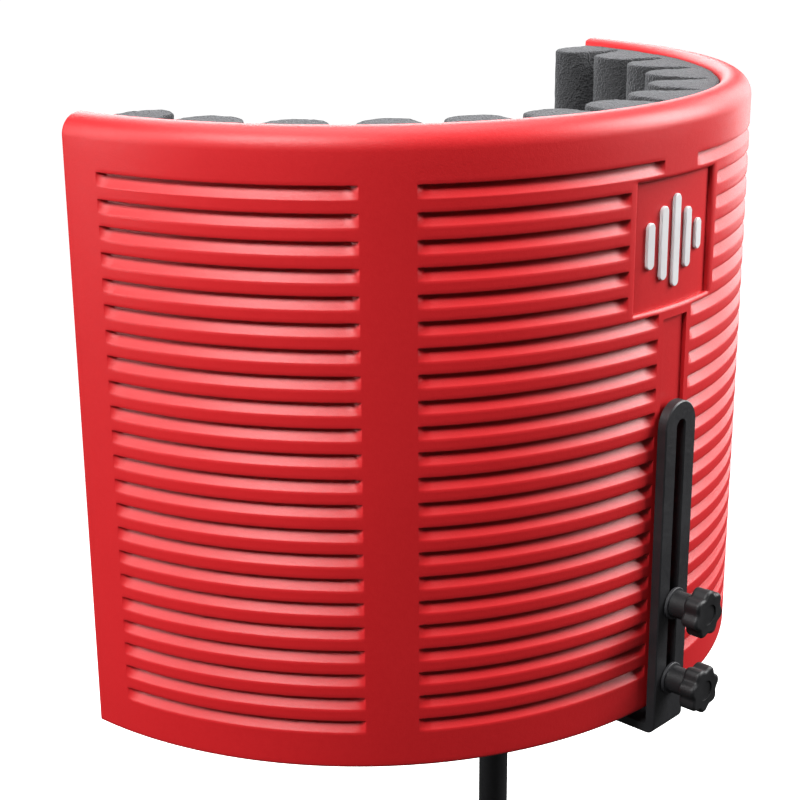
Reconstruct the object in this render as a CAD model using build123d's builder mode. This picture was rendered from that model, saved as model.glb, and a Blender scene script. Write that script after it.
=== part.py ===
"""Microphone isolation shield on a short stand tube.

Frame: +Z up, +Y to the closed back of the shield (its spine), -Y to the open
side where the microphone stands. The origin is the centre of the lower face of
the stand tube's coupling, where the tube screws onto a microphone stand.
Angles called phi are taken about the shield's own axis, from the spine (+Y)
towards +X. Heights called z are taken from the shield's lower edge unless the
name says otherwise. All lengths are in millimetres.
"""
import math
import os

from build123d import *

os.makedirs("parts", exist_ok=True)

# ---------------------------------------------------------------- dimensions
# placing of the shield over the tube
tube_offset = 94.7        # shield axis to tube axis
shell_lift = 140.0        # coupling face to the shield's lower edge
axis_y = -tube_offset
base_z = shell_lift

# outer shell
shell_r = 202.5
shell_h = 301.5
shell_half = 88.1         # half of the arc it covers, degrees
wall = 6.0
rim_w = 16.0              # radial width of the rims that frame the layers
rim_top = 8.0
rim_bottom = 6.0
rim_outer_round = 10.0
rim_inner_round = 5.0
end_wall = 2.8            # arc taken by each end rim, degrees
end_round = 2.2

# louvre grooves
rows = 22
row_pitch = 12.036
first_row = 277.3         # upper edge of the highest groove
groove_h = 5.9
groove_deep = 3.4
panel_a = (46.8, 81.9)    # outer panel, degrees from the spine
panel_b = (3.75, 39.75)   # inner panel
panel_b_badge = 9.9       # inner end of the rows beside the badge
badge_rows = (1, 5)

# badge and spine channel
badge_half = 8.7
badge_z = (207.5, 268.7)
badge_deep = 3.6
badge_plate_t = 1.0
channel_half_w = 9.7
channel_floor = 200.5     # distance of the flat floor from the shield axis
channel_z = (5.0, 202.0)
emblem_bars_h = (15.0, 29.0, 44.0, 35.0, 22.0)
emblem_bar_w = 5.2
emblem_pitch = 2.75       # degrees
emblem_t = 1.5

# layers behind the shell, radii of inner and outer face
outer_wool = (193.6, 196.3)
spacer = (191.1, 193.4)
foil = (190.4, 190.9)
inner_wool = (186.6, 190.2)
layer_half = 85.0
layer_z = (6.4, 293.1)

# foam liner
foam_back = 186.3
foam_tip = 150.0
foam_root = 179.0
foam_lobes = 13
foam_pitch = 14.1
foam_z = (3.0, 298.0)
foam_half = 87.6
lobe_half_w = 15.0        # half width where the round tip begins
lobe_shoulder = 164.0
slit_root = 1.6

# clamping points of the bracket
stud_z = (15.0, 56.0)     # heights of the two studs
stud_r = 3.0
thread_fit = 0.05         # radial play of each thread

# bracket
bar_w = 25.0
bar_t = 5.0
bar_face = 208.5          # outer face of the upright bar
bar_top = 161.0
bar_slot_w = 6.5
bar_slot = (8.6, 151.5)   # ends of the slot
arm_under = -13.0         # lower face of the arm
arm_tip = 26.0
arm_slot_w = 8.5
arm_slot = (36.0, 138.5)
bend_outer = 5.0
bend_inner = 1.2

# star knobs
knob_r = 12.3
knob_valley = 10.4
knob_lobes = 7
collar_r = 6.8
washer_t = 1.4
collar_len = 10.4
head_len = 9.2
play = 0.3                # play between faces that part or slide

# stand tube and adapter
tube_r = 8.0
tube_bore = 6.5
coupling_r = 11.0
coupling_len = 28.0
inch58_r = 7.9375         # 5/8 in thread, major radius
adapter_r = 12.5
post_r = 4.0

back_y = axis_y + shell_r


# -------------------------------------------------------------------- planes
def direction(phi):
    """Unit vector that points away from the shield axis at phi."""
    a = math.radians(phi)
    return (math.sin(a), math.cos(a), 0.0)


def spot(phi, r, z=0.0):
    """A point given by phi, distance from the shield axis and height."""
    d = direction(phi)
    return (d[0] * r, axis_y + d[1] * r, base_z + z)


def section(phi):
    """Plane through the shield axis: x runs outwards at phi, y runs up."""
    d = direction(phi)
    return Plane(origin=(0, axis_y, base_z), x_dir=d, z_dir=(d[1], -d[0], 0))


def level(z):
    """Horizontal plane at height z, centred on the shield axis."""
    return Plane(origin=(0, axis_y, base_z + z), x_dir=(1, 0, 0), z_dir=(0, 0, 1))


def tube_level(z):
    """Horizontal plane at height z, centred on the stand tube."""
    return Plane(origin=(0, 0, base_z + z), x_dir=(1, 0, 0), z_dir=(0, 0, 1))


def facing(phi, r, z=0.0):
    """Plane that faces outwards at phi: x runs level, y runs up."""
    d = direction(phi)
    return Plane(origin=spot(phi, r, z), x_dir=(-d[1], d[0], 0), z_dir=d)


shield_axis = Axis((0, axis_y, base_z), (0, 0, 1))


def flat(phi, r):
    """The same point in the plan of level()."""
    a = math.radians(phi)
    return (math.sin(a) * r, math.cos(a) * r)


# ------------------------------------------------------------ louvre cutters
def louvre_cutter(phi_from, phi_to, which):
    """Tools for the grooves of one panel: a ledge above, a ramp below and
    end walls at 45 degrees."""
    lead = math.degrees(groove_deep / shell_r)
    with BuildPart() as cutter:
        with BuildSketch(section(phi_to + 2.0)):
            for k in which:
                top = first_row - row_pitch * k
                with BuildLine():
                    Polyline(
                        (shell_r + 1.0, top + 0.25),
                        (shell_r, top),
                        (shell_r - groove_deep, top - 0.15),
                        (shell_r - groove_deep, top - 0.9),
                        (shell_r - 0.55, top - groove_h + 0.45),
                        (shell_r, top - groove_h),
                        (shell_r + 1.0, top - groove_h - 0.45),
                        close=True,
                    )
                make_face()
        revolve(axis=shield_axis, revolution_arc=phi_to - phi_from + 4.0)
        a_hi, b_hi = flat(phi_to, shell_r), flat(phi_to - lead, shell_r - groove_deep)
        a_lo, b_lo = flat(phi_from, shell_r), flat(phi_from + lead, shell_r - groove_deep)

        def beyond(p, q, t):
            return (q[0] + (p[0] - q[0]) * t, q[1] + (p[1] - q[1]) * t)

        with BuildSketch(level(0)):
            with BuildLine():
                Polyline(
                    beyond(a_hi, b_hi, 1.6), beyond(a_hi, b_hi, -0.6), (0, 0),
                    beyond(a_lo, b_lo, -0.6), beyond(a_lo, b_lo, 1.6),
                    flat(phi_from - 1.0, shell_r + 60), flat(phi_to + 1.0, shell_r + 60),
                    close=True,
                )
            make_face()
        extrude(amount=shell_h, mode=Mode.INTERSECT)
    return cutter.part


all_rows = list(range(rows))
beside = [k for k in all_rows if badge_rows[0] <= k <= badge_rows[1]]
others = [k for k in all_rows if k not in beside]
cutters = []
for side in (1, -1):
    for lo, hi, which in (
        (panel_a[0], panel_a[1], all_rows),
        (panel_b[0], panel_b[1], others),
        (panel_b_badge, panel_b[1], beside),
    ):
        a, b = sorted((side * lo, side * hi))
        cutters.append(louvre_cutter(a, b, which))

# --------------------------------------------------------------- outer shell
with BuildPart() as outer_shell:
    with BuildSketch(section(shell_half)):
        with BuildLine():
            Polyline(
                (shell_r - rim_w, 0), (shell_r, 0), (shell_r, shell_h),
                (shell_r - rim_w, shell_h), close=True,
            )
        make_face()
    revolve(axis=shield_axis, revolution_arc=2 * shell_half)
    rings = edges().filter_by(GeomType.CIRCLE)
    top_rings = rings.group_by(Axis.Z)[-1].sort_by(SortBy.LENGTH)
    fillet(top_rings[-1], rim_outer_round)
    fillet(
        edges().filter_by(GeomType.CIRCLE).filter_by(lambda e: abs(e.radius - (shell_r - rim_w)) < 0.01).group_by(Axis.Z)[-1],
        rim_inner_round,
    )
    fillet(
        edges().filter_by(GeomType.CIRCLE).filter_by(lambda e: e.radius > 100).group_by(Axis.Z)[0],
        1.5,
    )
    ends = [f for f in faces().filter_by(GeomType.PLANE) if abs(f.normal_at().Z) < 0.01 and f.area > 2000]
    fillet([e for f in ends for e in f.edges()], end_round)
    # tray for the layers, open to the inside
    with BuildSketch(section(shell_half - end_wall)):
        with BuildLine():
            Polyline(
                (shell_r - rim_w - 5, rim_bottom), (shell_r - wall, rim_bottom),
                (shell_r - wall, shell_h - rim_top), (shell_r - rim_w - 5, shell_h - rim_top),
                close=True,
            )
        make_face()
    revolve(axis=shield_axis, revolution_arc=2 * (shell_half - end_wall), mode=Mode.SUBTRACT)
    for cutter in cutters:
        add(cutter, mode=Mode.SUBTRACT)
    # badge recess with a bevelled mouth
    with BuildSketch(section(badge_half)):
        with BuildLine():
            Polyline(
                (shell_r - badge_deep, badge_z[0]), (shell_r - 0.5, badge_z[0]),
                (shell_r + 1.0, badge_z[0] - 1.5), (shell_r + 1.0, badge_z[1] + 1.5),
                (shell_r - 0.5, badge_z[1]), (shell_r - badge_deep, badge_z[1]), close=True,
            )
        make_face()
    revolve(axis=shield_axis, revolution_arc=2 * badge_half, mode=Mode.SUBTRACT)
    # flat channel down the spine
    with BuildSketch(facing(0, channel_floor, (channel_z[0] + channel_z[1]) / 2)):
        RectangleRounded(2 * channel_half_w, channel_z[1] - channel_z[0], 1.5)
    extrude(amount=10, mode=Mode.SUBTRACT)
    # clearance holes of the two studs
    with BuildSketch(facing(0, shell_r - wall - 2)):
        with Locations(*[(0, z) for z in stud_z]):
            Circle(stud_r + play)
    extrude(amount=20, mode=Mode.SUBTRACT)
    # countersunk holes under the backing block
    with BuildSketch(level(0)):
        with Locations((-10, 192.3), (10, 192.3)):
            Circle(1.65)
    extrude(amount=rim_bottom, mode=Mode.SUBTRACT)
    for x in (-10, 10):
        with BuildSketch(Plane(origin=(x, axis_y + 192.3, base_z), x_dir=(1, 0, 0), z_dir=(0, 0, 1))):
            Circle(3.25)
        with BuildSketch(Plane(origin=(x, axis_y + 192.3, base_z + 1.6), x_dir=(1, 0, 0), z_dir=(0, 0, 1))):
            Circle(1.65)
        loft(mode=Mode.SUBTRACT)
outer_shell.part.label = "outer_shell"

# ---------------------------------------------------------- badge and emblem
with BuildPart() as badge_plate:
    with BuildSketch(section(badge_half - 0.08)):
        with BuildLine():
            r0, r1 = shell_r - badge_deep + 0.03, shell_r - badge_deep + badge_plate_t
            Polyline(
                (r0, badge_z[0] + 0.2), (r1, badge_z[0] + 0.2),
                (r1, badge_z[1] - 0.2), (r0, badge_z[1] - 0.2), close=True,
            )
        make_face()
    revolve(axis=shield_axis, revolution_arc=2 * (badge_half - 0.08))
badge_plate.part.label = "badge_plate"

with BuildPart() as emblem_bars:
    middle = (badge_z[0] + badge_z[1]) / 2
    for i, h in enumerate(emblem_bars_h):
        phi = (i - (len(emblem_bars_h) - 1) / 2) * emblem_pitch
        with BuildSketch(facing(phi, shell_r - badge_deep + badge_plate_t + 0.03, middle)):
            SlotOverall(h, emblem_bar_w, rotation=90)
        extrude(amount=emblem_t)
    chamfer(edges().filter_by(lambda e: (e.center() - Vector(0, axis_y, e.center().Z)).length > shell_r - badge_deep + badge_plate_t + emblem_t - 0.1), 0.35)
emblem_bars.part.label = "emblem_bars"


# -------------------------------------------------------------------- layers
def notch():
    """Room in each layer for the backing block."""
    with BuildPart() as tool:
        with BuildSketch(section(4.5)):
            with Locations((192, 38)):
                Rectangle(24, 78)
        revolve(axis=shield_axis, revolution_arc=9.0)
    return tool.part


def layer(radii):
    """One curved sheet of the stack."""
    with BuildPart() as sheet:
        with BuildSketch(section(layer_half)):
            with BuildLine():
                Polyline(
                    (radii[0], layer_z[0]), (radii[1], layer_z[0]),
                    (radii[1], layer_z[1]), (radii[0], layer_z[1]), close=True,
                )
            make_face()
        revolve(axis=shield_axis, revolution_arc=2 * layer_half)
        add(notch(), mode=Mode.SUBTRACT)
    return sheet


outer_wool_layer = layer(outer_wool)
outer_wool_layer.part.label = "outer_wool_layer"
foil_sheet = layer(foil)
foil_sheet.part.label = "foil_sheet"
inner_wool_layer = layer(inner_wool)
inner_wool_layer.part.label = "inner_wool_layer"

# upright strips that keep the air gap open
with BuildPart() as gap_spacers:
    for phi in (-80, -60, -40, -20, 20, 40, 60, 80):
        with BuildSketch(section(phi + 1.2)):
            with BuildLine():
                Polyline(
                    (spacer[0], layer_z[0] + 2), (spacer[1], layer_z[0] + 2),
                    (spacer[1], layer_z[1] - 2), (spacer[0], layer_z[1] - 2), close=True,
                )
            make_face()
        revolve(axis=shield_axis, revolution_arc=2.4)
gap_spacers.part.label = "gap_spacers"

# ----------------------------------------------------------------- foam liner
with BuildPart() as foam_liner:
    with BuildSketch(level(foam_z[0])):
        with BuildLine():
            a, b = flat(foam_half, foam_back), flat(-foam_half, foam_back)
            ThreePointArc(a, flat(0, foam_back), b)
            c, d = flat(foam_half, foam_root - 2), flat(-foam_half, foam_root - 2)
            Line(b, d)
            ThreePointArc(d, flat(0, foam_root - 2), c)
            Line(c, a)
        make_face()
        for i in range(foam_lobes):
            phi = (i - (foam_lobes - 1) / 2) * foam_pitch
            half_root = foam_root * math.radians(foam_pitch) / 2 - slit_root / 2

            def local(u, r, phi=phi):
                """u across the lobe, r from the shield axis."""
                s, c2 = math.sin(math.radians(phi)), math.cos(math.radians(phi))
                return (s * r + c2 * u, c2 * r - s * u)

            outer = foam_back - 1.0
            left_root, right_root = half_root, half_root
            if i == foam_lobes - 1:
                right_root = (foam_half - phi) * math.radians(1) * foam_root - 0.5
            if i == 0:
                left_root = (phi + foam_half) * math.radians(1) * foam_root - 0.5
            wr, wl = min(lobe_half_w, right_root), min(lobe_half_w, left_root)
            with BuildLine():
                Line(local(-left_root, outer - 4), local(-left_root, foam_root))
                Line(local(-left_root, foam_root), local(-wl, lobe_shoulder))
                ThreePointArc(
                    local(-wl, lobe_shoulder), local((wr - wl) / 2, foam_tip), local(wr, lobe_shoulder)
                )
                Line(local(wr, lobe_shoulder), local(right_root, foam_root))
                Line(local(right_root, foam_root), local(right_root, outer - 4))
                Line(local(right_root, outer - 4), local(-left_root, outer - 4))
            make_face()
    extrude(amount=foam_z[1] - foam_z[0])
foam_liner.part.label = "foam_liner"

# ------------------------------------------- backing block, inserts, screws
with BuildPart() as backing_block:
    with BuildSketch(section(4.0)):
        with BuildLine():
            Polyline(
                (188.2, rim_bottom + 0.2), (shell_r - wall - 0.1, rim_bottom + 0.2),
                (shell_r - wall - 0.1, 74), (188.2, 74), close=True,
            )
        make_face()
    revolve(axis=shield_axis, revolution_arc=8.0)
    with BuildSketch(facing(0, 180)):
        with Locations(*[(0, z) for z in stud_z]):
            Circle(4.53)
    extrude(amount=30, mode=Mode.SUBTRACT)
    with BuildSketch(level(0)):
        with Locations((-10, 192.3), (10, 192.3)):
            Circle(1.53)
    extrude(amount=17, mode=Mode.SUBTRACT)
backing_block.part.label = "backing_block"

with BuildPart() as threaded_inserts:
    with BuildSketch(facing(0, 188.6)):
        with Locations(*[(0, z) for z in stud_z]):
            Circle(4.5)
            Circle(stud_r + thread_fit, mode=Mode.SUBTRACT)
    extrude(amount=7.4)
threaded_inserts.part.label = "threaded_inserts"

with BuildPart() as block_screws:
    for x in (-10, 10):
        with BuildSketch(Plane(origin=(x, axis_y + 192.3, base_z + 1.55), x_dir=(1, 0, 0), z_dir=(0, 0, 1))):
            Circle(1.5)
        extrude(amount=13)
        with BuildSketch(Plane(origin=(x, axis_y + 192.3, base_z + 0.1), x_dir=(1, 0, 0), z_dir=(0, 0, 1))):
            Circle(3.0)
        with BuildSketch(Plane(origin=(x, axis_y + 192.3, base_z + 1.6), x_dir=(1, 0, 0), z_dir=(0, 0, 1))):
            Circle(1.5)
        loft()
        with BuildSketch(Plane(origin=(x, axis_y + 192.3, base_z + 0.1), x_dir=(1, 0, 0), z_dir=(0, 0, 1))):
            Rectangle(3.4, 0.7)
            Rectangle(0.7, 3.4)
        extrude(amount=0.8, mode=Mode.SUBTRACT)
block_screws.part.label = "block_screws"

with BuildPart() as spacer_washers:
    with BuildSketch(facing(0, channel_floor + 0.05)):
        with Locations(*[(0, z) for z in stud_z]):
            Circle(8.0)
            Circle(stud_r + play, mode=Mode.SUBTRACT)
    extrude(amount=bar_face - bar_t - play - channel_floor - 0.05)
spacer_washers.part.label = "spacer_washers"

# ------------------------------------------------------------------- bracket
with BuildPart() as bracket:
    bar_back = bar_face - bar_t
    # upright with a round top
    with BuildSketch(facing(0, bar_back)):
        round_z = bar_top - bar_w / 2
        with Locations((0, (round_z + arm_under) / 2)):
            Rectangle(bar_w, round_z - arm_under)
        with Locations((0, round_z)):
            Circle(bar_w / 2)
    extrude(amount=bar_t)
    # arm with a round tip
    with BuildSketch(level(arm_under)):
        round_y = arm_tip + bar_w / 2
        with Locations((0, (round_y + bar_back + 1) / 2)):
            Rectangle(bar_w, bar_back + 1 - round_y)
        with Locations((0, round_y)):
            Circle(bar_w / 2)
    extrude(amount=bar_t)
    bend_edges = edges().filter_by(Axis.X)
    fillet([e for e in bend_edges if abs(e.center().Y - (axis_y + bar_face)) < 0.01 and abs(e.center().Z - (base_z + arm_under)) < 0.01], bend_outer)
    fillet([e for e in edges().filter_by(Axis.X) if abs(e.center().Y - (axis_y + bar_back)) < 0.01 and abs(e.center().Z - (base_z + arm_under + bar_t)) < 0.01], bend_inner)
    with BuildSketch(facing(0, bar_back - 1, (bar_slot[0] + bar_slot[1]) / 2)):
        SlotOverall(bar_slot[1] - bar_slot[0], bar_slot_w, rotation=90)
    extrude(amount=bar_t + 2, mode=Mode.SUBTRACT)
    with BuildSketch(Plane(origin=(0, axis_y + (arm_slot[0] + arm_slot[1]) / 2, base_z + arm_under - 1), x_dir=(1, 0, 0), z_dir=(0, 0, 1))):
        SlotOverall(arm_slot[1] - arm_slot[0], arm_slot_w, rotation=90)
    extrude(amount=bar_t + 2, mode=Mode.SUBTRACT)
    outer_face = faces().filter_by(Axis.Y).sort_by(Axis.Y)[-1]
    chamfer(outer_face.edges().filter_by(lambda e: e.center().Z > base_z + 0), 0.6)
bracket.part.label = "bracket"


# ---------------------------------------------------------------- star knobs
def star_outline(r_out, r_in, lobes, turn):
    """Points of a soft star for a closed spline."""
    pts = []
    for i in range(lobes * 4):
        a = 2 * math.pi * i / (lobes * 4) + math.radians(turn)
        w = (1 + math.cos(lobes * (a - math.radians(turn)))) / 2
        r = r_in + (r_out - r_in) * w ** 0.75
        pts.append((r * math.cos(a), r * math.sin(a)))
    return pts


def knob_body(z, turn):
    """Lobed head on a round collar, bored for its stud."""
    start = bar_face + play + washer_t + 0.1
    with BuildPart() as body:
        with BuildSketch(facing(0, start, z)):
            Circle(collar_r)
        extrude(amount=collar_len + 0.5)
        with BuildSketch(facing(0, start + collar_len, z)):
            with BuildLine():
                Spline(*star_outline(knob_r, knob_valley, knob_lobes, turn), periodic=True)
            make_face()
        extrude(amount=head_len)
        head_edges = [
            e for e in edges()
            if e.length > 60 and abs(abs(e.center().Y - (axis_y + start + collar_len + head_len / 2)) - head_len / 2) < 0.05
        ]
        fillet(head_edges, 1.7)
        with BuildSketch(facing(0, start, z)):
            Circle(stud_r + 0.02)
        extrude(amount=collar_len + 5.0, mode=Mode.SUBTRACT)
        with BuildSketch(facing(0, start + collar_len + head_len, z)):
            Circle(5.2)
        extrude(amount=-0.6, mode=Mode.SUBTRACT)
    return body


def knob_stud(z):
    """Threaded rod set into the knob and reaching into its insert."""
    with BuildPart() as rod:
        with BuildSketch(facing(0, 191.5, z)):
            Circle(stud_r)
        extrude(amount=bar_face + play + washer_t + 0.1 + collar_len + 4.9 - 191.5)
        chamfer(edges().filter_by(GeomType.CIRCLE).sort_by(Axis.Y)[0], 0.6)
    return rod


def knob_washer(z):
    with BuildPart() as ring:
        with BuildSketch(facing(0, bar_face + play, z)):
            Circle(8.2)
            Circle(stud_r + 0.25, mode=Mode.SUBTRACT)
        extrude(amount=washer_t)
        chamfer(edges().filter_by(GeomType.CIRCLE).filter_by(lambda e: e.radius > 8).sort_by(Axis.Y)[-1], 0.3)
    return ring


lower_knob, upper_knob = knob_body(stud_z[0], 12.0), knob_body(stud_z[1], 38.0)
lower_knob_stud, upper_knob_stud = knob_stud(stud_z[0]), knob_stud(stud_z[1])
lower_knob_washer, upper_knob_washer = knob_washer(stud_z[0]), knob_washer(stud_z[1])
lower_knob.part.label = "lower_knob"
upper_knob.part.label = "upper_knob"
lower_knob_stud.part.label = "lower_knob_stud"
upper_knob_stud.part.label = "upper_knob_stud"
lower_knob_washer.part.label = "lower_knob_washer"
upper_knob_washer.part.label = "upper_knob_washer"

# --------------------------------------------------- stand tube and adapter
with BuildPart() as tube_coupling:
    with BuildSketch(Plane.XY):
        Circle(coupling_r)
    extrude(amount=coupling_len)
    chamfer(edges().filter_by(GeomType.CIRCLE), 1.0)
    with BuildSketch(Plane.XY):
        Circle(inch58_r)
    extrude(amount=16, mode=Mode.SUBTRACT)
    with BuildSketch(Plane.XY.offset(coupling_len)):
        Circle(tube_r + 0.03)
    extrude(amount=-10, mode=Mode.SUBTRACT)
    # grip grooves round the outside
    with BuildSketch(Plane.XZ):
        with Locations(*[(coupling_r, 6 + 4 * i) for i in range(5)]):
            Rectangle(1.0, 1.2)
    revolve(axis=Axis.Z, mode=Mode.SUBTRACT)
tube_coupling.part.label = "tube_coupling"

with BuildPart() as stand_tube:
    with BuildSketch(Plane.XY.offset(coupling_len - 9.9)):
        Circle(tube_r)
        Circle(tube_bore, mode=Mode.SUBTRACT)
    extrude(amount=base_z - 48.2 - (coupling_len - 9.9))
stand_tube.part.label = "stand_tube"

with BuildPart() as tube_thread:
    with BuildSketch(tube_level(-60)):
        Circle(tube_bore - 0.03)
    extrude(amount=12)
    with BuildSketch(tube_level(-48)):
        Circle(inch58_r)
    extrude(amount=20)
    chamfer(edges().filter_by(GeomType.CIRCLE).sort_by(Axis.Z)[-1], 0.8)
tube_thread.part.label = "tube_thread"

with BuildPart() as stand_adapter:
    with BuildSketch(tube_level(-47)):
        Circle(adapter_r)
    extrude(amount=31.4)
    chamfer(edges().filter_by(GeomType.CIRCLE), 1.2)
    with BuildSketch(tube_level(-47)):
        Circle(inch58_r + 0.03)
    extrude(amount=19.5, mode=Mode.SUBTRACT)
    with BuildSketch(tube_level(-30)):
        Circle(post_r + 0.03)
    extrude(amount=16, mode=Mode.SUBTRACT)
    with BuildSketch(tube_level(-47)):
        with PolarLocations(adapter_r + 0.9, 16):
            Circle(1.6)
    extrude(amount=31.4, mode=Mode.SUBTRACT)
stand_adapter.part.label = "stand_adapter"

with BuildPart() as adapter_post:
    with BuildSketch(tube_level(-27.2)):
        Circle(post_r)
    extrude(amount=41)
    chamfer(edges().filter_by(GeomType.CIRCLE), 0.5)
adapter_post.part.label = "adapter_post"

with BuildPart() as mic_stud:
    with BuildSketch(tube_level(7.0)):
        RegularPolygon(10.5, 6)
    extrude(amount=5)
    with BuildSketch(tube_level(12.0)):
        Circle(inch58_r)
    extrude(amount=20)
    chamfer(edges().filter_by(GeomType.CIRCLE).sort_by(Axis.Z)[-1], 0.8)
    with BuildSketch(tube_level(7.0)):
        Circle(post_r + 0.03)
    extrude(amount=8, mode=Mode.SUBTRACT)
mic_stud.part.label = "mic_stud"

# key plate that turns on the post and guides the arm by its slot
with BuildPart() as slot_key:
    with BuildSketch(tube_level(arm_under - play - 2.0)):
        Circle(11.5)
    extrude(amount=2.0)
    with BuildSketch(tube_level(arm_under - play - 0.5)):
        Rectangle(arm_slot_w - 0.3, 16.0)
    extrude(amount=play + 0.5 + bar_t - 0.4)
    with BuildSketch(tube_level(arm_under - 4)):
        Circle(post_r + thread_fit)
    extrude(amount=12, mode=Mode.SUBTRACT)
slot_key.part.label = "slot_key"

with BuildPart() as clamp_washer:
    with BuildSketch(tube_level(arm_under + bar_t + play)):
        Circle(11.0)
        Circle(post_r + 0.3, mode=Mode.SUBTRACT)
    extrude(amount=1.5)
clamp_washer.part.label = "clamp_washer"

wheel_z = arm_under + bar_t + 2 * play + 1.5
with BuildPart() as clamp_wheel:
    with BuildSketch(tube_level(wheel_z)):
        Circle(12.5)
        with PolarLocations(13.6, 10):
            Circle(2.6, mode=Mode.SUBTRACT)
    extrude(amount=9.0)
    with BuildSketch(tube_level(wheel_z)):
        Circle(6.53)
    extrude(amount=9.0, mode=Mode.SUBTRACT)
clamp_wheel.part.label = "clamp_wheel"

with BuildPart() as clamp_wheel_nut:
    with BuildSketch(tube_level(wheel_z)):
        Circle(6.5)
        Circle(post_r + thread_fit, mode=Mode.SUBTRACT)
    extrude(amount=9.0)
clamp_wheel_nut.part.label = "clamp_wheel_nut"

# -------------------------------------------------------------------- export
export_step(outer_shell.part, "parts/outer_shell.step")
export_step(badge_plate.part, "parts/badge_plate.step")
export_step(emblem_bars.part, "parts/emblem_bars.step")
export_step(outer_wool_layer.part, "parts/outer_wool_layer.step")
export_step(gap_spacers.part, "parts/gap_spacers.step")
export_step(foil_sheet.part, "parts/foil_sheet.step")
export_step(inner_wool_layer.part, "parts/inner_wool_layer.step")
export_step(foam_liner.part, "parts/foam_liner.step")
export_step(backing_block.part, "parts/backing_block.step")
export_step(threaded_inserts.part, "parts/threaded_inserts.step")
export_step(block_screws.part, "parts/block_screws.step")
export_step(spacer_washers.part, "parts/spacer_washers.step")
export_step(bracket.part, "parts/bracket.step")
export_step(lower_knob.part, "parts/lower_knob.step")
export_step(upper_knob.part, "parts/upper_knob.step")
export_step(lower_knob_stud.part, "parts/lower_knob_stud.step")
export_step(upper_knob_stud.part, "parts/upper_knob_stud.step")
export_step(lower_knob_washer.part, "parts/lower_knob_washer.step")
export_step(upper_knob_washer.part, "parts/upper_knob_washer.step")
export_step(tube_coupling.part, "parts/tube_coupling.step")
export_step(stand_tube.part, "parts/stand_tube.step")
export_step(tube_thread.part, "parts/tube_thread.step")
export_step(stand_adapter.part, "parts/stand_adapter.step")
export_step(adapter_post.part, "parts/adapter_post.step")
export_step(mic_stud.part, "parts/mic_stud.step")
export_step(slot_key.part, "parts/slot_key.step")
export_step(clamp_washer.part, "parts/clamp_washer.step")
export_step(clamp_wheel.part, "parts/clamp_wheel.step")
export_step(clamp_wheel_nut.part, "parts/clamp_wheel_nut.step")
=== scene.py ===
import math

import bmesh
import bpy
from mathutils import Matrix, Vector, noise


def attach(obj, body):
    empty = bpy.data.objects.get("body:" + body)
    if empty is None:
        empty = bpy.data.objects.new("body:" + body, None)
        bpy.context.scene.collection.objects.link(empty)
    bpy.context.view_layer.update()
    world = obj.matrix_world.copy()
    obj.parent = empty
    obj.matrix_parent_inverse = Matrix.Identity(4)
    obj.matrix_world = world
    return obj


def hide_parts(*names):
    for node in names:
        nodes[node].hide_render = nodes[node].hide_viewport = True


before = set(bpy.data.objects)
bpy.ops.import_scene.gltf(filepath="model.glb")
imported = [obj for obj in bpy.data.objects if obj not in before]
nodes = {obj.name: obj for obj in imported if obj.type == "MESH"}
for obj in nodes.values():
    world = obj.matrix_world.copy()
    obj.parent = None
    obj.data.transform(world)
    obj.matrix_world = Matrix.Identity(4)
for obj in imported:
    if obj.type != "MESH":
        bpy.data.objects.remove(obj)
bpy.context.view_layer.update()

# ------------------------------------------------------------------ figures
AXIS_Y = -0.0947          # the shield's own axis
BASE_Z = 0.140            # its lower edge
SHELL_R = 0.2025


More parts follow.
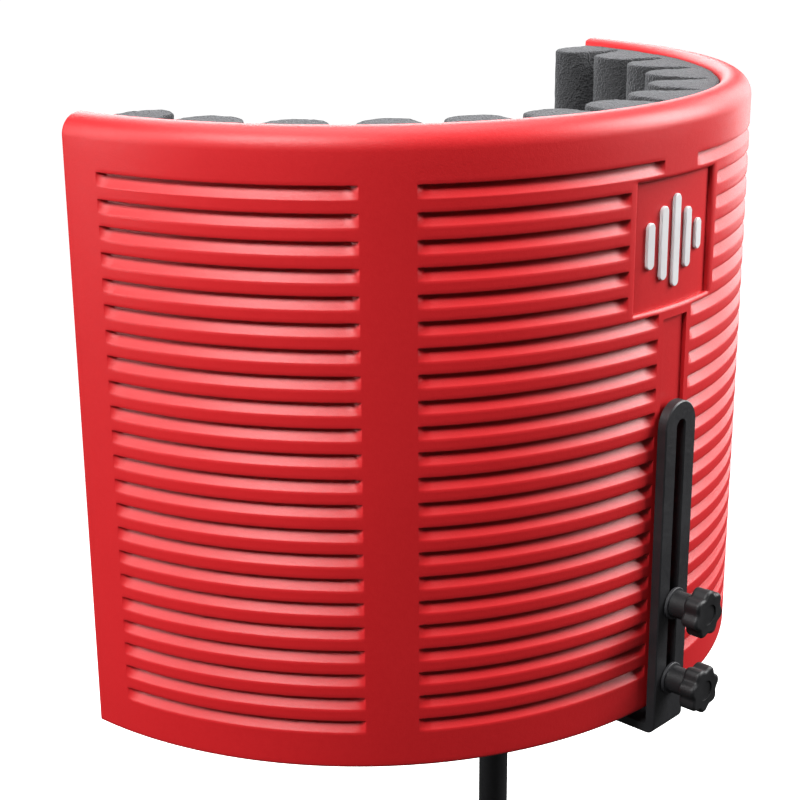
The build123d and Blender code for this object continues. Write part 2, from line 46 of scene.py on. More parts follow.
# ---------------------------------------------------------------- materials
class Nodes:
    """Short helpers for building a node material."""

    def __init__(self, name):
        self.mat = bpy.data.materials.new(name)
        self.mat.use_nodes = True
        self.t = self.mat.node_tree
        self.b = self.t.nodes["Principled BSDF"]
        self.coord = self.t.nodes.new("ShaderNodeTexCoord").outputs["Object"]

    def new(self, kind, **props):
        n = self.t.nodes.new(kind)
        for k, v in props.items():
            setattr(n, k, v)
        return n

    def link(self, a, b):
        self.t.links.new(a, b)

    def value(self, node, socket, v):
        node.inputs[socket].default_value = v

    def stretched(self, scale):
        m = self.new("ShaderNodeMapping")
        m.inputs["Scale"].default_value = scale
        self.link(self.coord, m.inputs["Vector"])
        return m.outputs["Vector"]

    def noise(self, scale, detail=3.0, rough=0.5, vector=None):
        n = self.new("ShaderNodeTexNoise")
        n.inputs["Scale"].default_value = scale
        n.inputs["Detail"].default_value = detail
        n.inputs["Roughness"].default_value = rough
        self.link(vector or self.coord, n.inputs["Vector"])
        return n.outputs["Fac"]

    def cells(self, scale, feature="F1", vector=None, rand=1.0):
        n = self.new("ShaderNodeTexVoronoi", feature=feature)
        n.inputs["Scale"].default_value = scale
        n.inputs["Randomness"].default_value = rand
        self.link(vector or self.coord, n.inputs["Vector"])
        return n.outputs["Distance"]

    def ramp(self, fac, stops):
        n = self.new("ShaderNodeValToRGB")
        while len(n.color_ramp.elements) < len(stops):
            n.color_ramp.elements.new(0.5)
        for e, (p, c) in zip(n.color_ramp.elements, stops):
            e.position = p
            e.color = (c, c, c, 1) if isinstance(c, (int, float)) else (*c, 1)
        self.link(fac, n.inputs["Fac"])
        return n.outputs["Color"]

    def remap(self, fac, a, b, c, d):
        n = self.new("ShaderNodeMapRange")
        for s, v in (("From Min", a), ("From Max", b), ("To Min", c), ("To Max", d)):
            n.inputs[s].default_value = v
        self.link(fac, n.inputs["Value"])
        return n.outputs["Result"]

    def math(self, op, a, b=None):
        n = self.new("ShaderNodeMath", operation=op)
        for i, v in enumerate((a, b)):
            if v is None:
                continue
            if isinstance(v, (int, float)):
                n.inputs[i].default_value = v
            else:
                self.link(v, n.inputs[i])
        return n.outputs["Value"]

    def mix(self, fac, a, b, blend="MIX"):
        n = self.new("ShaderNodeMix", data_type="RGBA", blend_type=blend)
        for s, v in ((0, fac), (6, a), (7, b)):
            if isinstance(v, (int, float)):
                n.inputs[s].default_value = v
            elif isinstance(v, tuple):
                n.inputs[s].default_value = (*v, 1)
            else:
                self.link(v, n.inputs[s])
        return n.outputs[2]

    def bump(self, height, distance, strength=1.0, after=None):
        n = self.new("ShaderNodeBump")
        n.inputs["Strength"].default_value = strength
        n.inputs["Distance"].default_value = distance
        self.link(height, n.inputs["Height"])
        if after is not None:
            self.link(after, n.inputs["Normal"])
        return n.outputs["Normal"]


def dress(name, mat):
    """Gives a CAD node its finished material."""
    o = nodes[name]
    for s in o.material_slots:
        s.material = mat


def red_plastic():
    n = Nodes("red_moulded_plastic")
    b = n.b
    # moulded skin: fine spark-eroded grain over a very faint flow mottle
    grain = n.noise(1500, 4, 0.6)
    mottle = n.noise(9, 3, 0.5)
    fine = n.noise(420, 3, 0.6)
    colour = n.mix(n.remap(mottle, 0.3, 0.7, 0, 1), (0.46, 0.0075, 0.0105), (0.50, 0.0095, 0.013))
    colour = n.mix(n.remap(fine, 0.35, 0.75, 0.0, 0.16), colour, (0.58, 0.019, 0.022))
    n.link(colour, b.inputs["Base Color"])
    n.link(n.remap(grain, 0.3, 0.7, 0.38, 0.50), b.inputs["Roughness"])
    first = n.bump(fine, 0.00020, 0.30)
    n.link(n.bump(grain, 0.00010, 0.7, first), b.inputs["Normal"])
    b.inputs["Specular IOR Level"].default_value = 0.42
    return n.mat


def foam():
    n = Nodes("acoustic_foam")
    b = n.b
    pores = n.cells(900)
    coarse = n.cells(420)
    patch = n.noise(26, 3, 0.55)
    fine = n.noise(1600, 3, 0.7)
    base = n.mix(n.remap(patch, 0.3, 0.7, 0, 1), (0.022, 0.0225, 0.024), (0.030, 0.0305, 0.032))
    speck = n.mix(n.remap(fine, 0.35, 0.75, 0.0, 0.65), base, (0.075, 0.075, 0.078))
    # painted shade: the colour is darkened toward each pore's centre, standing in for shade inside the foam cells
    painted_pore_shade = n.remap(pores, 0.05, 0.42, 1.0, 0.0)
    colour = n.mix(n.math("MULTIPLY", painted_pore_shade, 0.62), speck, (0.030, 0.030, 0.034))
    n.link(colour, b.inputs["Base Color"])
    b.inputs["Roughness"].default_value = 0.96
    b.inputs["Specular IOR Level"].default_value = 0.18
    b.inputs["Sheen Weight"].default_value = 0.20
    b.inputs["Sheen Roughness"].default_value = 0.5
    b.inputs["Sheen Tint"].default_value = (0.75, 0.76, 0.80, 1)
    first = n.bump(coarse, 0.0010, 0.5)
    second = n.bump(pores, 0.0009, 0.9, first)
    n.link(n.bump(fine, 0.0003, 0.6, second), b.inputs["Normal"])
    return n.mat


def black_coat(name="black_powder_coat", rough=(0.40, 0.56), tone=0.011):
    n = Nodes(name)
    b = n.b
    peel = n.noise(700, 3, 0.55)
    fine = n.noise(2600, 2, 0.6)
    dust = n.noise(35, 4, 0.6)
    colour = n.mix(n.remap(dust, 0.4, 0.8, 0, 1), (tone, tone, tone * 1.15), (tone * 1.9, tone * 1.9, tone * 2.1))
    n.link(colour, b.inputs["Base Color"])
    n.link(n.remap(peel, 0.3, 0.7, *rough), b.inputs["Roughness"])
    first = n.bump(peel, 0.00018, 0.5)
    n.link(n.bump(fine, 0.00006, 0.6, first), b.inputs["Normal"])
    b.inputs["Specular IOR Level"].default_value = 0.5
    return n.mat


def black_plastic(name="black_moulded_plastic", rough=(0.42, 0.58), tone=0.012):
    n = Nodes(name)
    b = n.b
    grain = n.noise(1900, 4, 0.65)
    handling = n.noise(60, 4, 0.6)
    colour = n.mix(n.remap(handling, 0.35, 0.75, 0, 1), (tone, tone, tone * 1.12), (tone * 2.2, tone * 2.2, tone * 2.4))
    n.link(colour, b.inputs["Base Color"])
    n.link(n.remap(handling, 0.3, 0.7, *rough), b.inputs["Roughness"])
    n.link(n.bump(grain, 0.00010, 0.8), b.inputs["Normal"])
    b.inputs["Specular IOR Level"].default_value = 0.36
    return n.mat


def pale_lacquer():
    """Satin grey-white lacquer over a diecast emblem."""
    n = Nodes("pale_grey_lacquer")
    b = n.b
    cloud = n.noise(55, 3, 0.5)
    skin = n.noise(850, 3, 0.6)
    n.link(n.mix(n.remap(cloud, 0.3, 0.7, 0, 1), (0.60, 0.59, 0.60), (0.68, 0.67, 0.68)), b.inputs["Base Color"])
    n.link(n.remap(skin, 0.3, 0.7, 0.34, 0.46), b.inputs["Roughness"])
    n.link(n.bump(skin, 0.00008, 0.6), b.inputs["Normal"])
    return n.mat


def metal(name, colour, rough, axis=(1, 1, 40), thread=0.0):
    n = Nodes(name)
    b = n.b
    drawn = n.noise(300, 4, 0.6, n.stretched(axis))
    spots = n.noise(70, 3, 0.6)
    dark = tuple(c * 0.80 for c in colour)
    n.link(n.mix(n.remap(spots, 0.35, 0.75, 0, 1), colour, dark), b.inputs["Base Color"])
    b.inputs["Metallic"].default_value = 1.0
    n.link(n.remap(drawn, 0.3, 0.7, rough - 0.06, rough + 0.08), b.inputs["Roughness"])
    normal = n.bump(drawn, 0.00004, 0.6)
    n.link(normal, b.inputs["Normal"])
    return n.mat


def threaded(name, colour, rough, pitch, along="Z", centre=0.0):
    """Rolled thread at the real pitch: bumped crests and roots, with painted shade in the roots and painted highlights
    on the crests.
    """
    n = Nodes(name)
    b = n.b
    sep = n.new("ShaderNodeSeparateXYZ")
    n.link(n.coord, sep.inputs["Vector"])
    s = n.math("SINE", n.math("MULTIPLY", sep.outputs[along], 2 * math.pi / pitch))
    lift = n.remap(s, -1, 1, 0, 1)
    fine = n.noise(500, 3, 0.6)
    # painted shade and highlight: the colour goes dark in the roots and bright on the crests
    dark = tuple(c * 0.45 for c in colour)
    n.link(n.mix(n.ramp(lift, [(0.0, 0.0), (0.35, 0.25), (0.7, 1.0)]), dark, colour), b.inputs["Base Color"])
    b.inputs["Metallic"].default_value = 1.0
    n.link(n.remap(fine, 0.3, 0.7, rough - 0.05, rough + 0.08), b.inputs["Roughness"])
    n.link(n.bump(lift, pitch * 0.35, 0.9), b.inputs["Normal"])
    return n.mat


def wool():
    n = Nodes("pressed_wool")
    b = n.b
    fibres = n.noise(380, 6, 0.75, n.stretched((1, 1, 0.25)))
    cross = n.noise(420, 6, 0.75, n.stretched((0.25, 0.25, 1)))
    both = n.math("MAXIMUM", fibres, cross)
    n.link(n.ramp(both, [(0.35, (0.16, 0.15, 0.14)), (0.75, (0.46, 0.44, 0.41))]), b.inputs["Base Color"])
    b.inputs["Roughness"].default_value = 0.97
    b.inputs["Sheen Weight"].default_value = 0.5
    n.link(n.bump(both, 0.0008, 0.9), b.inputs["Normal"])
    return n.mat


RED = red_plastic()
COAT = black_coat()
PLASTIC = black_plastic(tone=0.006)
NYLON = black_plastic("black_nylon", (0.5, 0.62), 0.016)
STEEL = metal("zinc_steel", (0.62, 0.62, 0.64), 0.30)
BRASS = metal("turned_brass", (0.78, 0.56, 0.25), 0.28)
SATIN = pale_lacquer()
FOIL = metal("foil_board", (0.86, 0.87, 0.88), 0.24, (1, 1, 12))
WOOL = wool()
M6 = threaded("m6_thread", (0.60, 0.60, 0.62), 0.30, 0.0010, "Y")
M8 = threaded("m8_thread", (0.60, 0.60, 0.62), 0.30, 0.00125, "Z")
UNS = threaded("stand_thread", (0.66, 0.66, 0.67), 0.28, 0.000941, "Z")

for name, mat in {
    "outer_shell": RED, "badge_plate": RED, "emblem_bars": SATIN,
    "outer_wool_layer": WOOL, "inner_wool_layer": WOOL, "foil_sheet": FOIL,
    "gap_spacers": NYLON, "backing_block": PLASTIC, "threaded_inserts": BRASS,
    "block_screws": STEEL, "spacer_washers": NYLON, "bracket": COAT,
    "lower_knob": PLASTIC, "upper_knob": PLASTIC, "lower_knob_stud": M6,
    "upper_knob_stud": M6, "lower_knob_washer": NYLON, "upper_knob_washer": NYLON,
    "tube_coupling": COAT, "stand_tube": COAT, "tube_thread": UNS,
    "stand_adapter": COAT, "adapter_post": M8, "mic_stud": UNS,
    "slot_key": NYLON, "clamp_washer": STEEL, "clamp_wheel": PLASTIC,
    "clamp_wheel_nut": BRASS,
}.items():
    dress(name, mat)

# --------------------------------------------------------------------- foam
FOAM = dict(back=0.1863, tip=0.1500, root=0.1790, lobes=13, pitch=14.1, z=(0.003, 0.298),
            half=87.6, half_w=0.0150, shoulder=0.1640, slit=0.0016)


def foam_outline():
    """Plan of the liner about the shield axis, as the CAD piece has it, with
    the knife's own softness at the corners. Points go round once."""
    f = FOAM
    pts = []

    def local(phi, u, r):
        s, c = math.sin(math.radians(phi)), math.cos(math.radians(phi))
        return Vector((s * r + c * u, c * r - s * u, 0))

    for i in range(f["lobes"]):
        phi = (i - (f["lobes"] - 1) / 2) * f["pitch"]
        half_root = f["root"] * math.radians(f["pitch"]) / 2 - f["slit"] / 2
        lr = rr = half_root
        if i == 0:
            lr = (phi + f["half"]) * math.radians(1) * f["root"] - 0.0005
        if i == f["lobes"] - 1:
            rr = (f["half"] - phi) * math.radians(1) * f["root"] - 0.0005
        wl, wr = min(f["half_w"], lr), min(f["half_w"], rr)
        # each lobe is cut a little differently
        jig = noise.noise(Vector((i * 3.7, 1.3, 0))) * 0.0010
        if i == 0:
            pts.append(local(phi, -lr, f["root"] + 0.006))
        pts.append(local(phi, -lr, f["root"] - 0.0003))
        mid = (wr - wl) / 2
        rad_l, rad_r = (wl + mid), (wr - mid)
        n = 12
        for k in range(n + 1):
            a = math.pi * k / n
            u = mid - math.cos(a) * (rad_l if a < math.pi / 2 else rad_r)
            r = f["shoulder"] - math.sin(a) ** 0.9 * (f["shoulder"] - f["tip"] - jig)
            pts.append(local(phi, u, r))
        pts.append(local(phi, rr, f["root"] - 0.0003))
        if i == f["lobes"] - 1:
            pts.append(local(phi, rr, f["root"] + 0.006))
    for k in range(61):
        phi = f["half"] - 2 * f["half"] * k / 60
        pts.append(local(phi, 0, f["back"]))
    return pts


def resample(pts, step):
    """Even spacing along a closed outline."""
    out = []
    n = len(pts)
    total = [0.0]
    for i in range(n):
        total.append(total[-1] + (pts[(i + 1) % n] - pts[i]).length)
    count = int(total[-1] / step)
    j = 0
    for k in range(count):
        d = total[-1] * k / count
        while total[j + 1] < d:
            j += 1
        t = (d - total[j]) / max(total[j + 1] - total[j], 1e-9)
        out.append(pts[j % n].lerp(pts[(j + 1) % n], t))
    return out


def inward(pts):
    """Unit vectors into the foam at each point of the outline."""
    n = len(pts)
    area = sum(pts[i].x * pts[(i + 1) % n].y - pts[(i + 1) % n].x * pts[i].y for i in range(n))
    turn = 1 if area > 0 else -1
    res = []
    for i in range(n):
        t = (pts[(i + 1) % n] - pts[i - 1]).normalized()
        res.append(Vector((-t.y, t.x, 0)) * turn)
    return res


def foam_liner():
    """The liner as cut foam: round-shouldered lobes, shallow knife waves and
    a broken, porous skin."""
    z0, z1 = FOAM["z"]
    ring = resample(foam_outline(), 0.0022)
    # soften the corners that the outline's straight runs leave
    for _ in range(2):
        ring = [(ring[i - 1] + ring[i] * 2 + ring[(i + 1) % len(ring)]) / 4 for i in range(len(ring))]
    inn = inward(ring)
    for _ in range(4):
        inn = [(inn[i - 1] + inn[i] * 2 + inn[(i + 1) % len(inn)]).normalized() for i in range(len(inn))]
    n = len(ring)
    # rows: (inset, height)
    edge = 0.0016
    rows = []
    for k in range(4):
        a = math.radians(90 * k / 4)
        rows.append((edge * (1 - math.sin(a)), z0 + edge * (1 - math.cos(a))))
    steps = 84
    for k in range(steps + 1):
        rows.append((0.0, z0 + edge + (z1 - z0 - 2 * edge) * k / steps))
    for k in range(1, 5):
        a = math.radians(90 * k / 4)
        rows.append((edge * (1 - math.cos(a)), z1 - edge + edge * math.sin(a)))
    base = Vector((0, AXIS_Y, BASE_Z))
    bm = bmesh.new()
    bv = [bm.verts.new(p + q * inset + Vector((0, 0, z))) for inset, z in rows for p, q in zip(ring, inn)]
    for r in range(len(rows) - 1):
        for i in range(n):
            j = (i + 1) % n
            bm.faces.new((bv[r * n + i], bv[r * n + j], bv[(r + 1) * n + j], bv[(r + 1) * n + i]))
    top = bm.faces.new([bv[(len(rows) - 1) * n + i] for i in range(n)])
    low = bm.faces.new([bv[i] for i in reversed(range(n))])
    bmesh.ops.recalc_face_normals(bm, faces=bm.faces)
    bmesh.ops.triangulate(bm, faces=[top, low], ngon_method="EAR_CLIP")
    bm.normal_update()
    for v in bm.verts:
        p = v.co
        wave = noise.noise(Vector((p.x * 45, p.y * 45, p.z * 16))) * 0.0005
        rough = noise.noise(Vector((p.x * 330, p.y * 330, p.z * 330))) * 0.00035
        v.co = p + v.normal * (wave + rough - 0.0002)
    for v in bm.verts:
        v.co += base
    me = bpy.data.meshes.new("foam_liner_cut")
    bm.to_mesh(me)
    bm.free()
    me.materials.append(foam())
    me.polygons.foreach_set("use_smooth", [True] * len(me.polygons))
    o = bpy.data.objects.new("foam_liner_cut", me)
    bpy.context.scene.collection.objects.link(o)
    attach(o, "shield")
    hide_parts("foam_liner")
    return o


foam_liner()

# -------------------------------------------------------------- outer shell
# The moulding again as one even mesh, with the CAD part's own figures, so that
# the long curved lands and grooves stay smooth and their edges can be broken.
SHELL = dict(r=0.2025, h=0.3015, half=88.1, wall=0.006, rim=0.016, top=0.008, bottom=0.006,
             out_round=0.010, in_round=0.005, end_wall=2.8, end_round=0.0022,
             rows=22, pitch=0.012036, first=0.2773, groove=0.0059, deep=0.0034,
             panel_a=(46.8, 81.9), panel_b=(3.75, 39.75), panel_b_badge=9.9, beside=(1, 5),
             badge_half=8.7, badge_z=(0.2075, 0.2687), badge_deep=0.0036,
             channel_half=0.0097, channel_floor=0.2005, channel_z=(0.005, 0.202))


def shell_columns():
    """Angles of the mesh columns, with the features' own edges among them."""
    s = SHELL
    lead = math.degrees(s["deep"] / s["r"])
    marks = {0.0}
    for lo, hi in (s["panel_a"], s["panel_b"], (s["panel_b_badge"], s["panel_b"][1])):
        for a in (lo, lo + lead, hi - lead, hi):
            marks.update((a, -a))
        for a in (lo - 0.10, lo + 0.06, hi + 0.10, hi - 0.06):
            marks.update((a, -a))
    chan = math.degrees(s["channel_half"] / s["r"])
    for a in (chan - 0.06, chan, chan + 0.06, s["badge_half"] - 0.03, s["badge_half"],
              s["badge_half"] + 0.12, s["badge_half"] + 0.45):
        marks.update((a, -a))
    k = -s["half"] + 1.0
    while k < s["half"] - 0.9:
        if min(abs(k - m) for m in marks) > 0.35:
            marks.add(round(k, 4))
        k += 1.0
    edge = math.degrees(s["end_round"] / s["r"])
    cols = [(a, 0.0, abs(a) <= s["half"] - s["end_wall"]) for a in marks if abs(a) < s["half"] - edge - 0.1
            and abs(abs(a) - (s["half"] - s["end_wall"])) > 0.05]
    for sign in (1, -1):
        a = sign * (s["half"] - s["end_wall"])
        cols.append((a, 0.0, True))
        cols.append((a + sign * 1e-5, 0.0, False))
        for i in range(7):
            t = math.radians(90 * i / 6)
            cols.append((sign * (s["half"] - edge * (1 - math.sin(t))), s["end_round"] * (1 - math.cos(t)), False))
    return sorted(cols)


def shell_mesh():
    s = SHELL
    R, H = s["r"], s["h"]
    lead = math.degrees(s["deep"] / R)
    chan = math.degrees(s["channel_half"] / R)
    # outer face, from the lower edge up: (height, depth of the groove, row)
    outer = [(0.0015, 0.0, -1), (0.0032, 0.0, -1), (s["channel_z"][0] - 0.0002, 0.0, -1), (s["channel_z"][0], 0.0, -1),
             (s["channel_z"][0] + 0.0002, 0.0, -1)]
    for k in reversed(range(s["rows"])):
        t = s["first"] - s["pitch"] * k
        g, d = s["groove"], s["deep"]
        outer += [
            (t - g - 0.0016, 0.0, -1), (t - g - 0.0003, 0.0, k), (t - g + 0.0001, 0.00022, k),
            (t - g + 0.00045, 0.00055, k), (t - g * 0.62, 0.00055 + (d - 0.00055) * 0.36, k),
            (t - 0.0019, d * 0.86, k), (t - 0.0009, d, k), (t - 0.00015, d, k),
            (t - 0.00004, 0.00045, k), (t + 0.00012, 0.00014, k), (t + 0.0005, 0.0, k), (t + 0.0021, 0.0, -1),
        ]
    z_lo, z_hi = s["badge_z"]
    for z in (z_lo - 0.0020, z_lo - 0.0006, z_lo, z_lo + 0.0002, z_hi - 0.0002, z_hi, z_hi + 0.0006, z_hi + 0.0020,
              s["channel_z"][1] - 0.0002, s["channel_z"][1], s["channel_z"][1] + 0.0003):
        outer.append((z, None, -1))
    outer.append((0.2845, 0.0, -1))
    outer.sort(key=lambda q: q[0])
    # a height that only the badge or channel needs takes its depth from its neighbours
    full = []
    for i, (z, d, k) in enumerate(outer):
        if d is None:
            a = next(q for q in reversed(outer[:i]) if q[1] is not None)
            b = next(q for q in outer[i:] if q[1] is not None)
            t = (z - a[0]) / max(b[0] - a[0], 1e-9)
            d = a[1] + (b[1] - a[1]) * t
            k = a[2] if a[2] == b[2] else -1
            if d > 0 and k < 0:
                k = max(a[2], b[2])
        full.append((z, d, k))
    outer = full

    def in_panel(phi, row):
        """How far the groove has come to its full depth, 0 to 1."""
        if row < 0:
            return 0.0
        a = abs(phi)
        lo, hi = s["panel_a"] if a > 43 else s["panel_b"]
        if a <= 43 and s["beside"][0] <= row <= s["beside"][1]:
            lo = s["panel_b_badge"]
        t = min((a - lo) / lead, (hi - a) / lead)
        return max(0.0, min(1.0, t))

    def reach(phi, z, depth, row):
        r = R - depth * in_panel(phi, row)
        a = abs(phi)
        # bevelled mouth and floor of the badge recess
        if z_lo - 0.0020 < z < z_hi + 0.0020 and a < s["badge_half"] + 0.42:
            out = max(0.0, (a - s["badge_half"]) * math.radians(1) * R, z_lo - z, z - z_hi)
            if a < s["badge_half"] - 0.01 and z_lo + 0.0001 < z < z_hi - 0.0001:
                r = min(r, R - s["badge_deep"])
            else:
                r = min(r, R - max(0.0, 0.0009 - out))
        if s["channel_z"][0] + 0.0001 < z < s["channel_z"][1] - 0.0001 and a < chan - 0.03:
            r = min(r, s["channel_floor"] / math.cos(math.radians(phi)))
        return r

    def profile(phi, inset, hollow):
        pts = [(0.0, None)]
        out = []
        # lower edge, rounded
        for i in range(5):
            t = math.radians(90 * i / 4)
            out.append((R - 0.0015 * (1 - math.sin(t)), 0.0015 * (1 - math.cos(t))))
        for z, d, row in outer:
            out.append((reach(phi, z, d, row), z))
        o, q = s["out_round"], s["in_round"]
        for i in range(13):
            t = math.radians(90 * i / 12)
            out.append((R - o * (1 - math.cos(t)), H - o * (1 - math.sin(t))))
        inner = R - s["rim"]
        for i in range(9):
            t = math.radians(90 * i / 8)
            out.append((inner + q * (1 - math.sin(t)), H - q * (1 - math.cos(t))))
        top, low = H - s["top"], s["bottom"]
        back = R - s["wall"] if hollow else inner
        out.append((inner, top))
        out.append((back, top))
        for i in range(1, 12):
            out.append((back, top + (low - top) * i / 12))
        out.append((back, low))
        out.append((inner, low))
        for i in range(5):
            t = math.radians(90 * i / 4)
            out.append((inner + 0.0015 * (1 - math.cos(t)), 0.0015 * (1 - math.sin(t))))
        if inset:
            out = [(min(max(r, inner + inset), R - inset), min(max(z, inset), H - inset)) for r, z in out]
            # the round rim keeps its curve while it draws in
            cx, cz = R - o, H - o
            fixed = []
            for r, z in out:
                if r > cx and z > cz:
                    d = math.hypot(r - cx, z - cz)
                    lim = o - inset
                    if d > lim:
                        r, z = cx + (r - cx) * lim / d, cz + (z - cz) * lim / d
                fixed.append((r, z))
            out = fixed
        return out

    bm = bmesh.new()
    rings = []
    for phi, inset, hollow in shell_columns():
        s_, c_ = math.sin(math.radians(phi)), math.cos(math.radians(phi))
        rings.append([bm.verts.new((s_ * r, AXIS_Y + c_ * r, BASE_Z + z)) for r, z in profile(phi, inset, hollow)])
    n = len(rings[0])
    for a, b in zip(rings, rings[1:]):
        for i in range(n):
            j = (i + 1) % n
            bm.faces.new((a[i], a[j], b[j], b[i]))
    bm.faces.new(list(reversed(rings[0])))
    bm.faces.new(rings[-1])
    bmesh.ops.remove_doubles(bm, verts=bm.verts, dist=2e-6)
    bmesh.ops.dissolve_degenerate(bm, edges=bm.edges, dist=1e-6)
    bmesh.ops.recalc_face_normals(bm, faces=bm.faces)
    bmesh.ops.triangulate(bm, faces=[f for f in bm.faces if len(f.verts) > 4], ngon_method="EAR_CLIP")
    return bm


def rod(bm, origin, axis, stations, segments=32):
    """Turned solid for a cut: stations are (distance along the axis, radius)."""
    axis = Vector(axis)
    side = axis.orthogonal().normalized()
    other = axis.cross(side)
    rings = []
    for d, r in stations:
        c = Vector(origin) + axis * d
        rings.append([bm.verts.new(c + (side * math.cos(math.tau * i / segments) + other * math.sin(math.tau * i / segments)) * r)
                      for i in range(segments)])
    for a, b in zip(rings, rings[1:]):
        for i in range(segments):
            j = (i + 1) % segments
            bm.faces.new((a[i], a[j], b[j], b[i]))
    bm.faces.new(list(reversed(rings[0])))
    bm.faces.new(rings[-1])


def outer_shell():
    bm = shell_mesh()
    me = bpy.data.meshes.new("outer_shell_moulding")
    bm.to_mesh(me)
    bm.free()
    o = bpy.data.objects.new("outer_shell_moulding", me)
    bpy.context.scene.collection.objects.link(o)
    # clearance holes of the studs and countersinks of the block's screws
    cb = bmesh.new()
    for z in (0.015, 0.056):
        rod(cb, (0, AXIS_Y + 0.190, BASE_Z + z), (0, 1, 0), ((0, 0.0033), (0.02, 0.0033)))
    for x in (-0.010, 0.010):
        rod(cb, (x, AXIS_Y + 0.1923, BASE_Z - 0.002), (0, 0, 1),
            ((0, 0.00525), (0.0020, 0.00325), (0.0036, 0.00165), (0.0100, 0.00165)))
    bmesh.ops.recalc_face_normals(cb, faces=cb.faces)
    cm = bpy.data.meshes.new("shell_cuts")
    cb.to_mesh(cm)
    cb.free()
    cut = bpy.data.objects.new("shell_cuts", cm)
    bpy.context.scene.collection.objects.link(cut)
    mod = o.modifiers.new("cuts", "BOOLEAN")
    mod.operation = "DIFFERENCE"
    mod.solver = "EXACT"
    mod.object = cut
    bpy.context.view_layer.update()
    done = bpy.data.meshes.new_from_object(o.evaluated_get(bpy.context.evaluated_depsgraph_get()))
    o.modifiers.clear()
    if len(done.vertices) > len(me.vertices) * 0.9:
        o.data = done
        done.name = "outer_shell_moulding"
    bpy.data.objects.remove(cut)
    me = o.data
    bm = bmesh.new()
    bm.from_mesh(me)
    bm.normal_update()
    for f in bm.faces:
        f.smooth = True
    for e in bm.edges:
        if len(e.link_faces) == 2 and e.calc_face_angle(0.0) > math.radians(38):
            e.smooth = False
    bm.to_mesh(me)
    bm.free()
    me.materials.clear()
    me.materials.append(RED)
    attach(o, "shield")
    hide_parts("outer_shell")
    return o


outer_shell()

# --------------------------------------------------------------------- stage
floor_mesh = bpy.data.meshes.new("studio_floor")
bm = bmesh.new()
bmesh.ops.create_grid(bm, x_segments=8, y_segments=8, size=30)
bm.to_mesh(floor_mesh)
bm.free()
floor = bpy.data.objects.new("studio_floor", floor_mesh)
floor.location = (0, 0, -0.9)
bpy.context.scene.collection.objects.link(floor)
fm = Nodes("pale_floor")
fm.link(fm.ramp(fm.noise(0.8, 2, 0.5), [(0.3, 0.90), (0.7, 0.93)]), fm.b.inputs["Base Color"])
fm.b.inputs["Roughness"].default_value = 0.9
fm.b.inputs["Specular IOR Level"].default_value = 0.1
fm.b.inputs["Emission Color"].default_value = (1, 1, 1, 1)
fm.b.inputs["Emission Strength"].default_value = 1.0
floor_mesh.materials.append(fm.mat)
floor.visible_diffuse = False
floor.visible_glossy = False

# the studio's white wall, all round; it is only seen, and lights nothing
wall_mesh = bpy.data.meshes.new("studio_wall")
bm = bmesh.new()
bmesh.ops.create_icosphere(bm, subdivisions=4, radius=26)
for f in bm.faces:
    f.smooth = True
bm.to_mesh(wall_mesh)
bm.free()
wall = bpy.data.objects.new("studio_wall", wall_mesh)
bpy.context.scene.collection.objects.link(wall)
wm = Nodes("pale_wall")
wm.link(wm.ramp(wm.noise(0.3, 2, 0.5), [(0.3, 0.90), (0.7, 0.93)]), wm.b.inputs["Base Color"])
wm.b.inputs["Roughness"].default_value = 0.9
wm.b.inputs["Emission Color"].default_value = (1, 1, 1, 1)
wm.b.inputs["Emission Strength"].default_value = 1.0
wall_mesh.materials.append(wm.mat)
for ray in ("visible_diffuse", "visible_glossy", "visible_transmission", "visible_volume_scatter", "visible_shadow"):
    setattr(wall, ray, False)

world = bpy.data.worlds.new("studio")
bpy.context.scene.world = world
world.use_nodes = True
world.node_tree.nodes["Background"].inputs["Color"].default_value = (1, 1, 1, 1)
world.node_tree.nodes["Background"].inputs["Strength"].default_value = 0.07

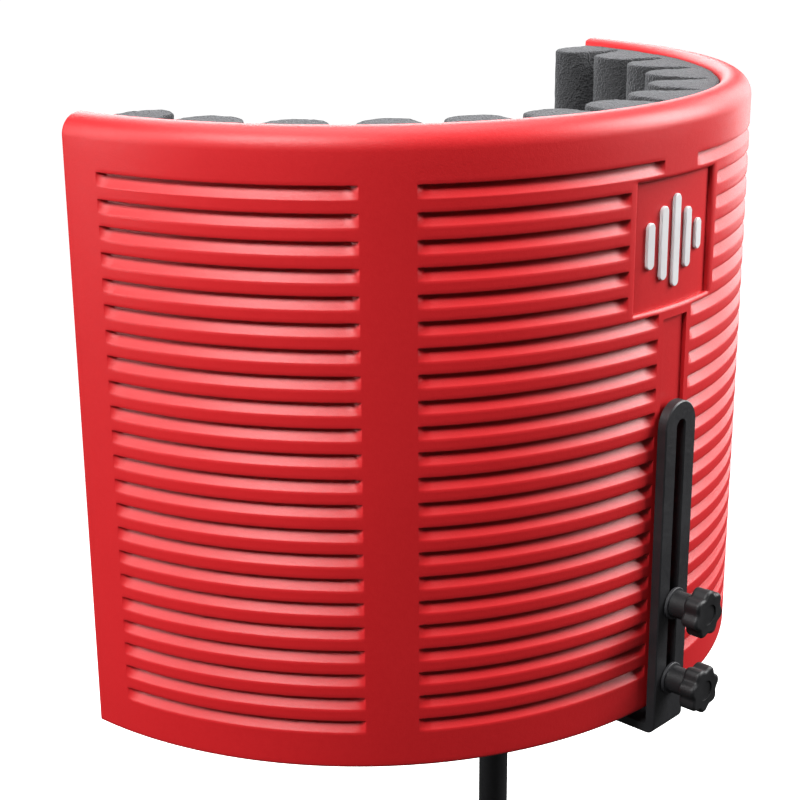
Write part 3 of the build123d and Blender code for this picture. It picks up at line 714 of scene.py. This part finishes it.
# camera axes in the row frame
yaw, pitch, roll = math.radians(222.74), 0.3151, -0.0070
fwd = Vector((math.cos(yaw) * math.cos(pitch), math.sin(yaw) * math.cos(pitch), -math.sin(pitch)))
right0 = Vector((math.sin(yaw), -math.cos(yaw), 0))
up0 = right0.cross(fwd)
right = right0 * math.cos(roll) + up0 * math.sin(roll)
up = -right0 * math.sin(roll) + up0 * math.cos(roll)
centre = Vector((0, AXIS_Y, BASE_Z + 0.16))


def softbox(name, place, aim, size, power, colour=(1, 1, 1), size_y=None):
    d = bpy.data.lights.new(name, "AREA")
    d.shape = "RECTANGLE"
    d.size = size
    d.size_y = size_y or size
    d.energy = power
    d.color = colour
    o = bpy.data.objects.new(name, d)
    bpy.context.scene.collection.objects.link(o)
    o.location = place
    o.rotation_euler = (Vector(aim) - Vector(place)).to_track_quat("-Z", "Y").to_euler()
    return o


flat_fwd = Vector((fwd.x, fwd.y, 0)).normalized()
softbox("light_key", centre - right0 * 0.75 - flat_fwd * 1.25 + Vector((0, 0, 1.55)), centre, 0.9, 62, size_y=0.9)
softbox("light_right", centre + right0 * 1.45 + flat_fwd * 0.15 + Vector((0, 0, 0.80)), centre, 0.9, 52, size_y=1.0)
softbox("light_rim", centre + right0 * 1.1 + flat_fwd * 1.3 + Vector((0, 0, 0.30)), centre, 0.6, 10, size_y=1.2)
softbox("light_left", centre - right0 * 1.7 - flat_fwd * 0.5 + Vector((0, 0, 0.6)), centre, 0.7, 20, size_y=1.3)
softbox("light_top", centre + flat_fwd * 0.35 + Vector((0, 0, 1.7)), centre, 1.6, 34)
softbox("light_back", centre + flat_fwd * 1.9 - right0 * 0.3 + Vector((0, 0, 0.95)), centre + Vector((0, 0, 0.15)), 1.8, 36, size_y=0.9)

cam_data = bpy.data.cameras.new("camera")
cam_data.sensor_fit = "HORIZONTAL"
cam_data.sensor_width = 36.0
cam_data.lens = 36.0 * 1718.27 / 800
cam_data.clip_start = 0.01
cam_data.clip_end = 200
cam = bpy.data.objects.new("camera", cam_data)
bpy.context.scene.collection.objects.link(cam)
place = Vector((0.6623, 0.6373 + AXIS_Y, 0.41591 + BASE_Z))
m = Matrix((right, up, -fwd)).transposed().to_4x4()
m.translation = place
cam.matrix_world = m
bpy.context.scene.camera = cam

bpy.context.scene.view_settings.view_transform = "Standard"
bpy.context.scene.view_settings.look = "None"

bpy.context.view_layer.update()
